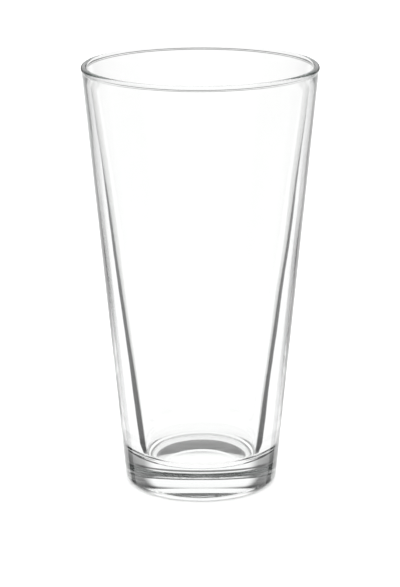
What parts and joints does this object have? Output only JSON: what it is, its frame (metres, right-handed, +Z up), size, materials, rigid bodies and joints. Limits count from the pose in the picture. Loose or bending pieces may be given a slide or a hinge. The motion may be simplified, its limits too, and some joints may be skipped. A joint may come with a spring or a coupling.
{
  "type": "pint glass",
  "caption": "Clear pressed-glass pint tumbler: straight tapering wall, round fire-polished lip, thick solid base with a rounded heel and a shallow hollow under it.",
  "frame": {"origin": "centre of the ring that the glass stands on, at table level", "axes": "+Z up along the glass's axis, from the base to the mouth; X and Y are alike, because the glass is round"},
  "size_m": [0.092, 0.092, 0.1681],
  "materials": {
    "clear_glass": "clear colourless pressed soda-lime glass, fire polished"
  },
  "bodies": {
    "root": {"glass": "clear_glass"}
  },
  "joints": []
}
